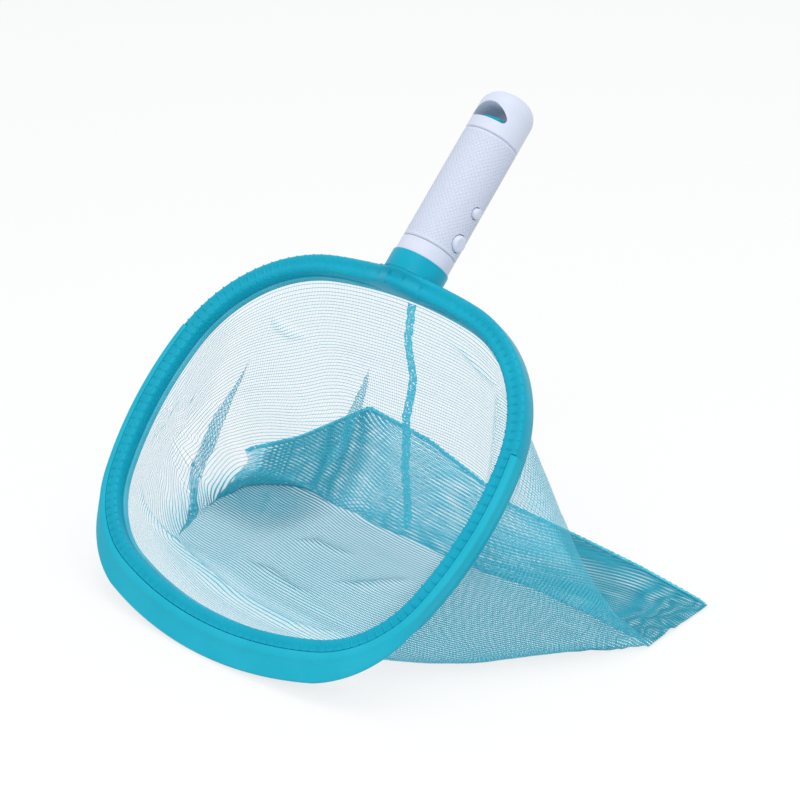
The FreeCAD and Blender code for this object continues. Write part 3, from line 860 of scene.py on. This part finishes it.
def make_lip():
    """The strip hooked over the rim's outer edge from one notch to the other, widest at the far edge."""
    counts = [max(2, round(math.radians(end - start) * r / LIP_STEP)) for _, r, start, end in RIM_ARCS]
    edges = stations(outline(LIP_SIDE, LIP_REACH), counts)
    rows = []
    for (place, out), (edge, _) in zip(stations(RIM_ARCS, counts), edges):
        if place.y <= LIP_END + LIP_SPARE:
            corners = lip_section((edge - place).dot(out))
            rows.append([place + out * n + Vector((0, 0, z)) for n, z in corners])
    shape = lofted(rows)
    bmesh.ops.remove_doubles(shape, verts=shape.verts, dist=NEAR)
    cut_off(shape, (0, LIP_END, 0), (0, 1, 0))
    bmesh.ops.recalc_face_normals(shape, faces=shape.faces)
    shape.transform(LEANED)
    piece("lip", shape, "soft_lip", "soft_lip", "scoop_lip")


def make_hem():
    """The hem folded round its cord in the rim's channel."""
    middle, height = CORD_AT
    outer = CORD_RADIUS + HEM_FOLD
    low = height - outer
    corners = [
        (middle - outer, low, 0),
        (middle + outer, low, 1.2),
        (middle + outer, height + outer, 1.6),
        (middle - outer, height + outer, 1.6),
        (middle - outer, low + HEM_CLOTH, 0),
        (-MOUTH - HEM_CLOTH / 2, low + HEM_CLOTH, 0.2),
        (-MOUTH - HEM_CLOTH / 2, SKIRT_END, 0),
        (-MOUTH + HEM_CLOTH / 2, SKIRT_END, 0),
        (-MOUTH + HEM_CLOTH / 2, low, 0),
    ]
    shape = swept(corners, HEM_STEP)
    shape.transform(LEANED)
    piece("hem", shape, "cord", "tape", "net_hem")


def make_hem_cord():
    """The round cord in the hem's fold."""
    middle, height = CORD_AT
    r = CORD_RADIUS
    corners = [(middle + a * r, height + b * r, r * 0.98) for a, b in ((1, 1), (-1, 1), (-1, -1), (1, -1))]
    shape = swept(corners, HEM_STEP)
    shape.transform(LEANED)
    piece("braided_cord", shape, "cord", "cord", "hem_cord")


def make_spring():
    """The coil between the carriers, in two halves, one on each side of its middle."""
    low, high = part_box("lock_spring")
    middle = (low + high) / 2
    for side, out in (("right", 1), ("left", -1)):
        shape = bmesh.new()
        shape.from_mesh(frame["nodes"]["lock_spring"].data)
        bmesh.ops.remove_doubles(shape, verts=shape.verts, dist=NEAR_IN_CAD)
        cut_off(shape, middle, (-out, 0, 0), NEAR_IN_CAD)
        made = piece(f"spring_{side}", shape, "steel", "steel", "lock_spring")
        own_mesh(made)


# The net


def along(stops, share):
    """The place at a share of the way through a table of places."""
    for (low, first), (high, second) in zip(stops, stops[1:]):
        if low <= share <= high:
            return Vector(first).lerp(Vector(second), (share - low) / (high - low))
    return Vector(stops[-1][1])


MOUTH_ARCS = [(centre, radius - MOUTH, start, end) for centre, radius, start, end in RIM_ARCS]
MOUTH_LENGTHS = [math.radians(end - start) * radius for _, radius, start, end in MOUTH_ARCS]
MOUTH_ROUND = sum(MOUTH_LENGTHS)


def mouth_place(quarter, height):
    """A place on the hem, in quarters of the way round from the neck's middle."""
    gone = (quarter / 4 * MOUTH_ROUND + MOUTH_LENGTHS[0] / 2) % MOUTH_ROUND
    for (centre, radius, start, end), length in zip(MOUTH_ARCS, MOUTH_LENGTHS):
        if gone <= length:
            break
        gone -= length
    place = centre + turned(start + (end - start) * gone / length) * radius
    return RIM_TO_FLOOR @ Vector((place.x, place.y, height))


def turning_places(quarter):
    """Where the net at this quarter lies at its hem, where it lands, at its crease and at its end."""
    from_tip = abs((quarter + 1) % 4 - 2) / 2
    crease = along(CREASE, from_tip)
    stops = [*LANDING, (CREASE_FROM, crease)]
    land = along(stops, quarter % 4) if quarter % 4 >= LANDING[0][0] else crease
    return mouth_place(quarter, SKIRT_END), land, crease, along(END_SEAM, from_tip)


def lengths(quarter):
    """How long the net's wall, floor and folded end are here."""
    hem, land, crease, end = turning_places(quarter)
    return (land - hem).length, (crease - land).length, (end - crease).length


def cut_length(quarter):
    """How long the net is cut here, from its hem to its end seam, evened out over its neighbours."""
    near = [sum(lengths(quarter + step * CUT_APART)) for step in range(-CUT_MEANS, CUT_MEANS + 1)]
    return max(NET_SHORTEST, sum(near) / len(near) + NET_EASE)


def strand(quarter, share):
    """A place on the net as it is laid out: down its wall, over the floor and up to the end seam."""
    hem, land, crease, end = turning_places(quarter)
    wall, floor, flap = lengths(quarter)
    slack = max(0, cut_length(quarter) - wall - floor - flap)
    rise = min(MOST_SLACK_RISE, math.sqrt(3 / 8 * wall * slack))
    away = ((hem + land) / 2 - BAG_MIDDLE) * Vector((1, 1, 0))
    drawn = wall + slack
    gone = share * (drawn + floor + flap)
    if gone < drawn:
        part = gone / drawn
        return hem.lerp(land, part) + away.normalized() * rise * 4 * part * (1 - part)
    if gone < drawn + floor:
        return land.lerp(crease, (gone - drawn) / floor)
    return crease.lerp(end, (gone - drawn - floor) / flap)


def lay_out_net():
    """The net's mesh as a tube of quads, and the column and row of each of its vertices."""
    columns = 4 * round(MOUTH_ROUND / NET_STEP / 4)
    rows = round(NET_LONG / NET_STEP)
    shape = bmesh.new()
    column = shape.verts.layers.int.new("column")
    row = shape.verts.layers.int.new("row")
    bmesh.ops.create_grid(shape, x_segments=columns, y_segments=rows, size=0.5)
    for vert in shape.verts:
        i = round((vert.co.x + 0.5) * columns) % columns
        j = round((vert.co.y + 0.5) * rows)
        quarter = 4 * i / columns
        vert[column] = i
        vert[row] = j
        lift = LAYER_LIFT * min(1, 2 * j / rows) if quarter < 1 or quarter > 3 else 0
        vert.co = strand(quarter, j / rows) + Vector((0, 0, lift))
    bmesh.ops.remove_doubles(shape, verts=shape.verts, dist=NEAR)
    mesh = bpy.data.meshes.new("drape")
    shape.to_mesh(mesh)
    shape.free()
    order = zip(mesh.attributes["column"].data, mesh.attributes["row"].data)
    return mesh, [(i.value, j.value) for i, j in order], columns, rows


def let_settle(mesh, order, columns, rows):
    """Lets the laid out net settle to its real cut, held at the hem and the end seam."""
    mesh.transform(Matrix.Scale(CLOTH_SCALE, 4))
    sheet = linked("drape", mesh)
    sheet.shape_key_add(name="Basis")
    cut = sheet.shape_key_add(name="cut")
    for number, (i, j) in enumerate(order):
        angle = math.tau * i / columns
        radius = (MOUTH_ROUND + (2 * END_WIDTH - MOUTH_ROUND) * j / rows) / math.tau
        down = cut_length(4 * i / columns) * j / rows
        place = Vector((radius * math.sin(angle), radius * math.cos(angle), -down))
        cut.data[number].co = place * CLOTH_SCALE
    held = sheet.vertex_groups.new(name="held")
    held.add([number for number, (_, j) in enumerate(order) if j in (0, rows)], 1.0, "REPLACE")
    ground_shape = bmesh.new()
    bmesh.ops.create_grid(ground_shape, x_segments=1, y_segments=1, size=10)
    ground = new_object("ground", ground_shape)
    ground.modifiers.new("Collision", "COLLISION")
    ground.collision.thickness_outer = GROUND_THICK
    ground.collision.cloth_friction = GROUND_FRICTION
    cloth = sheet.modifiers.new("Cloth", "CLOTH")
    for name, value in CLOTH.items():
        setattr(cloth.settings, name, value)
    cloth.settings.vertex_group_mass = "held"
    cloth.settings.rest_shape_key = cut
    cloth.collision_settings.distance_min = CLOTH_CLEAR
    for number in range(1, CLOTH_FRAMES + 1):
        bpy.context.scene.frame_set(number)
    seen = sheet.evaluated_get(bpy.context.evaluated_depsgraph_get())
    mesh = bpy.data.meshes.new_from_object(seen)
    mesh.transform(Matrix.Scale(1 / CLOTH_SCALE, 4))
    bpy.data.objects.remove(sheet)
    bpy.data.objects.remove(ground)
    bpy.context.scene.frame_set(1)
    return mesh


def drape():
    """The settled net as rows of places, evened out along its rows away from the bag's two corners."""
    mesh, order, columns, rows = lay_out_net()
    mesh = let_settle(mesh, order, columns, rows)
    places = {spot: vert.co.copy() for spot, vert in zip(order, mesh.vertices)}
    corners = (columns // 4, -columns // 4)
    for _ in range(EVENED):
        before = dict(places)
        for (i, j), place in before.items():
            from_corner = min(min((i - corner) % columns, (corner - i) % columns) for corner in corners)
            if 0 < j < rows and from_corner > CORNER_KEPT:
                beside = (before[(i - 1) % columns, j] + before[(i + 1) % columns, j]) / 2
                share = min(MOST_EVENED, (from_corner - CORNER_KEPT) * EVENED_RISE)
                places[i, j] = place.lerp(beside, share)
    return [[places[i % columns, j] for i in range(columns + 1)] for j in range(rows + 1)], columns


class Settled:
    """The net as it settled, which gives a place for every (round, down) in millimetres on its cut."""

    def __init__(self):
        self.rows, self.columns = drape()
        self.across = MOUTH_ROUND / self.columns
        self.cuts = [cut_length(4 * i / self.columns) for i in range(self.columns)]

    def spot(self, i, j):
        return self.rows[min(max(j, 0), len(self.rows) - 1)][i % self.columns]

    def length(self, u):
        """How long the net's cut is here, from its hem to its end seam."""
        i, part = divmod(u / self.across, 1)
        here, after = (self.cuts[(int(i) + k) % self.columns] for k in (0, 1))
        return here + (after - here) * part

    def at(self, u, v):
        """The place on a smooth surface through the settled ones."""
        i, part = divmod(u / self.across, 1)
        steps = len(self.rows) - 1
        j, rest = divmod(min(max(v / self.length(u), 0), 0.999999) * steps, 1)
        lines = []
        for row in range(int(j) - 1, int(j) + 3):
            lines.append(between(part, [self.spot(int(i) + k, row) for k in (-1, 0, 1, 2)]))
        return between(rest, lines)

    def side(self, u, v):
        """The directions round the bag, down it, and into it, at a place."""
        aside = (self.at(u + 1, v) - self.at(u - 1, v)).normalized()
        below = (self.at(u, v + 1) - self.at(u, v - 1)).normalized()
        return aside, below, below.cross(aside).normalized()


def between(share, places):
    """The place at this share from the second to the third, on a smooth curve through all four."""
    a, b, c, d = places
    curve = (c - a) * share + (2 * a - 5 * b + 4 * c - d) * share**2 + (3 * (b - c) + d - a) * share**3
    return b + curve * 0.5


def from_line(u, v, line):
    """How far to the right of a fold's line a place on the cut lies, which way, and how deep the fold is."""
    best = None
    for (u0, v0, deep0), (u1, v1, deep1) in zip(line, line[1:]):
        way = Vector((u1 - u0, v1 - v0))
        off = Vector((u - u0, v - v0))
        share = min(1, max(0, off.dot(way) / way.length_squared))
        off -= way * share
        if best is None or off.length < abs(best[0]):
            right = Vector((way.y, -way.x)).normalized()
            side = 1 if off.dot(right) > 0 else -1
            across = off.normalized() * side if off.length > NEAR else right
            best = (side * off.length, across, deep0 + (deep1 - deep0) * share)
    return best


def near_folds(u, v, folds):
    """For each of these folds that may reach a place: how far off it draws, and what from_line says."""
    for wide, line in folds:
        round_bag, down, _ = zip(*line)
        beside = min(round_bag) - wide < u < max(round_bag) + wide
        if beside and min(down) - wide < v < max(down) + wide:
            yield wide, from_line(u, v, line)


def folded(u, v):
    """Where a place on the cut moves to on the settled net, and how far it lifts, for all its folds."""
    move = Vector((0, 0))
    lift = 0.0
    for wide, (away, across, deep) in near_folds(u, v, PLEATS):
        if abs(away) >= wide or deep < SHALLOW:
            continue
        if abs(away) < deep:
            to = -away
            height = (away + deep) / (2 * deep)
        else:
            side = 1 if away > 0 else -1
            fade = (abs(away) - deep) / (wide - deep)
            to = side * ((wide + deep) * fade - deep)
            height = 1 - fade if side > 0 else 0.0
        move += across * (to - away)
        lift += height * min(1.0, deep)
    for wide, (away, _, deep) in near_folds(u, v, RIDGES):
        lift += deep * max(0, 1 - abs(away) / wide) ** RIDGE_ROUND
    return move, lift


def net_place(net, u, v):
    """A place on the folded net, on the floor's axes."""
    move, lift = folded(u, v)
    place = net.at(u + move.x, v + move.y)
    if lift:
        place += net.side(u, v)[2] * lift
    place.z = max(place.z, NET_ABOVE)
    return place


def rising(value, *rises):
    """From 0 at each rise's start to 1 this far past it, smoothly. One over less than 0 lies before it."""
    risen = 1
    for start, over in rises:
        share = min(1, max(0, (value - start) / over))
        risen *= share * share * (3 - 2 * share)
    return risen


def folds_and_painted_shade(u, v, long, place):
    """How much closer the threads lie in small folds, and as painted shadow and shade: on the floor, in the
    bag's end and at a fold's line.
    """
    x, y, z = place
    flap = lengths(4 * u / MOUTH_ROUND)[2]
    # Painted shadow: near the floor the threads lie closer, standing in for their own shadows on it
    low = rising(z, NEAR_FLOOR)
    end = rising(v - long + flap, PAST_CREASE)
    tail = rising((Vector((x, y)) - TAIL_AT).dot(TAIL_WAY), TAIL_PAST)
    left = rising(x, LEFT_ACROSS)
    tip = rising(x, TIP_ACROSS)
    front = rising(v, FRONT_DOWN) * rising(u, *FRONT_ROUND)
    # Small folds and painted shade in the floor's left corner
    corner = rising(x, CORNER_ACROSS) * rising(y, CORNER_BACK)
    leans_from, leans = RIGHT_LEANS
    right = rising(u + leans * (v - leans_from), RIGHT_ROUND[0]) * rising(u, RIGHT_ROUND[1])
    right *= rising(v, RIGHT_DOWN)
    outside = rising(u, *OUTSIDE_ROUND)
    on_floor = (FLOOR_FOLDS_AND_SHADOW + CORNER_FOLDS_AND_SHADE * corner + OUTSIDE_FOLDS * outside) * (1 - FRONT_SHARE * front)
    in_end = FLAP_FOLDS + TAIL_FOLDS * tail + LEFT_FOLDS * left
    more = max(on_floor * low, in_end * end, RIGHT_FOLDS * right) * tip
    # Painted shade along each fold's line, as closer threads
    for _, (away, _, deep) in near_folds(u, v, PLEATS + RIDGES):
        off = abs(away) / (CREASE_REACH * deep + 0.1)
        more += CREASE_FOLDS_AND_SHADE * rising(deep, (0, 1)) * rising(off, (1.5, -1))
    return 1 + more


def make_net():
    """The bag in panels, each with its threads on its own map, with its seam's tape and its end's binding."""
    panels = []
    net = Settled()
    skirt = SKIRT_TOP - SKIRT_END
    width = MOUTH_ROUND / PANELS
    steps = round(width / FINE_STEP)
    downs = round(max(net.cuts) / FINE_STEP)
    for panel in range(PANELS):
        turns = [width * (panel + step / steps) for step in range(steps + 1)]
        cut = [[(u, net.length(u) * row / downs) for u in turns] for row in range(downs + 1)]
        grid = [[net_place(net, u, v) for u, v in line] for line in cut]
        grid.insert(0, [mouth_place(4 * u / MOUTH_ROUND, SKIRT_TOP) for u in turns])
        cut.insert(0, [(u, -skirt) for u in turns])
        sheet = mapped(grid, cut)
        # Each vertex's thread density: partly small folds, partly painted shadow and shade
        weight = sheet.verts.layers.float.new("folds_and_painted_shade")
        spots = [spot for line in cut for spot in line]
        places = [place for line in grid for place in line]
        for vert, (u, v), place in zip(sheet.verts, spots, places):
            vert[weight] = folds_and_painted_shade(u, v, net.length(u), place)
        made = on_floor_piece(f"net_{panel + 1}", sheet, "net", "net", "net_bag")
        deep = made.modifiers.new("thread", "SOLIDIFY")
        deep.thickness = THREAD_DEEP * MM
        deep.offset = 0
        deep.use_rim = False
        long = sum(net.length(u) for u in turns) / len(turns) + skirt
        panels.append((made, (width * MM, long * MM)))
    on_panels = [[make_seam_tape(net)], [make_binding(net)], [], []]
    for (made, flat), on_it in zip(panels, on_panels):
        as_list(on_it)


def mapped(rows, table):
    """A sheet through rows of places, with its map from a table of places on its cut in millimetres."""
    shape = lofted(rows)
    layer = shape.loops.layers.uv.active
    across, down = len(table[0]) - 1, len(table) - 1
    for face in shape.faces:
        for loop in face.loops:
            u, v = loop[layer].uv
            loop[layer].uv = Vector(table[round(v * down)][round(u * across)]) * MM
    return shape


def on_floor_piece(name, shape, material, slot, node):
    """A piece of cloth, drawn on the floor's axes and smooth all over."""
    shape.transform(ON_FLOOR)
    return piece(name, shape, material, slot, node, smooth=math.pi)


def strip(name, rows, line, wide, material, node):
    """A narrow piece of cloth through rows of places, mapped by its length at one line and by its width."""
    points = len(rows[0])
    long = 0
    cut = []
    for before, row in zip([rows[0], *rows], rows):
        long += (row[line] - before[line]).length
        cut.append([(wide * point / (points - 1), long) for point in range(points)])
    return on_floor_piece(name, mapped(rows, cut), material, "tape", node)


def make_seam_tape(net):
    """The flat tape down the seam behind, a little inside the net."""
    rows = []
    for (u0, v0), (u1, v1) in zip(SEAM_LINE, SEAM_LINE[1:]):
        steps = max(1, round(math.hypot(u1 - u0, v1 - v0) / TAPE_STEP))
        for step in range(steps):
            u = u0 + (u1 - u0) * step / steps
            v = v0 + (v1 - v0) * step / steps
            wobble = sum(wide * math.sin(v * often + start) for wide, often, start in TAPE_WAVES)
            aside, _, inward = net.side(u, v)
            middle = net_place(net, u, v)
            row = []
            for share in (-0.5, -0.3, 0, 0.3, 0.5):
                bulge = TAPE_THICK * (1.6 - 4 * share * share)
                row.append(middle + aside * (share * TAPE_WIDE + wobble) + inward * bulge)
            rows.append(row)
    return strip("seam_tape", rows, 2, TAPE_WIDE, "tape", "back_seam_tape")


def make_binding(net):
    """The folded edge sewn over the end seam."""
    rows = []
    half = MOUTH_ROUND / 2
    steps = round(half / BINDING_STEP)
    rise = Vector((0, 0, BINDING_RISE))
    for step in range(steps + 1):
        ends = []
        for u in (MOUTH_ROUND / 4 - half * step / steps, MOUTH_ROUND / 4 + half * step / steps):
            long = net.length(u)
            back, end = net_place(net, u, long - BINDING_WIDE), net_place(net, u, long)
            ends.append((back, end, (end - back).normalized()))
        (up, end_up, out_up), (down, end_down, out_down) = ends
        over, under = end_up + out_up * BINDING_OVER, end_down + out_down * BINDING_UNDER
        rows.append([up + rise, end_up + rise, over, under, down])
    return strip("binding", rows, 1, BINDING_FOLDED, "bound_edge", "end_binding")


# The stage


def make_camera():
    right = Vector(CAMERA_RIGHT).normalized()
    back = right.cross(Vector(CAMERA_UP)).normalized()
    turn = Matrix((right, back.cross(right), back)).transposed()
    data = bpy.data.cameras.new("camera")
    data.lens = LENS
    data.sensor_width = SENSOR
    bpy.context.scene.camera = linked("camera", data, Vector(CAMERA_PLACE) * MM, turn)


def white_to_camera(tree, surface, output, share):
    """Lets the camera, and gloss and glass, see plain white in place of this much of a surface."""

    def maths(operation, first, second):
        node = tree.nodes.new("ShaderNodeMath")
        node.operation = operation
        tree.links.new(first, node.inputs[0])
        if isinstance(second, float):
            node.inputs[1].default_value = second
        else:
            tree.links.new(second, node.inputs[1])
        return node.outputs[0]

    rays = tree.nodes.new("ShaderNodeLightPath").outputs
    seen = maths("MAXIMUM", rays["Is Camera Ray"], rays["Is Glossy Ray"])
    seen = maths("MAXIMUM", seen, rays["Is Transmission Ray"])
    white = tree.nodes.new("ShaderNodeEmission")
    mix = tree.nodes.new("ShaderNodeMixShader")
    for socket, source in zip(mix.inputs, (maths("MULTIPLY", seen, share), surface, white.outputs[0])):
        tree.links.new(source, socket)
    tree.links.new(mix.outputs[0], output)


def make_stage():
    shape = bmesh.new()
    bmesh.ops.create_grid(shape, x_segments=1, y_segments=1, size=FLOOR_HALF)
    floor = new_object("floor", shape)
    finish = Finish("pale_floor", FLOOR, 0.8)
    output = finish.nodes["Material Output"].inputs["Surface"]
    white_to_camera(finish.material.node_tree, finish.shader.outputs[0], output, FLOOR_TO_CAMERA)
    floor.data.materials.append(finish.material)
    world = bpy.data.worlds.new("room")
    bpy.context.scene.world = world
    world.use_nodes = True
    tree = world.node_tree
    room = tree.nodes["Background"]
    room.inputs["Color"].default_value = (*ROOM, 1)
    room.inputs["Strength"].default_value = ROOM_LIGHT
    white_to_camera(tree, room.outputs[0], tree.nodes["World Output"].inputs["Surface"], 1.0)


def make_light(name, place, size, power):
    data = bpy.data.lights.new(name, "AREA")
    data.shape = "DISK"
    data.size = size
    data.energy = power
    linked(name, data, place, (LIGHTS_AIM - Vector(place)).to_track_quat("-Z", "Y").to_matrix())


def finish_nodes():
    """Gives every CAD node that stays its finish."""
    slots = {part["node"]: part["material_slot"] for part in frame["record"]["subparts"]}
    for name, node in frame["nodes"].items():
        for number in range(len(node.material_slots)):
            node.material_slots[number].material = MATERIALS[slots[name]]


finish_nodes()
make_rim()
make_lip()
make_hem()
make_hem_cord()
make_spring()
make_net()
make_stage()
make_camera()
make_light("window", (0.55, -0.95, 1.15), 1.0, 8)
make_light("ceiling", (0.1, 0.3, 1.7), 1.4, 10)
bpy.context.scene.view_settings.view_transform = "Standard"
bpy.context.scene.cycles.transparent_max_bounces = 24
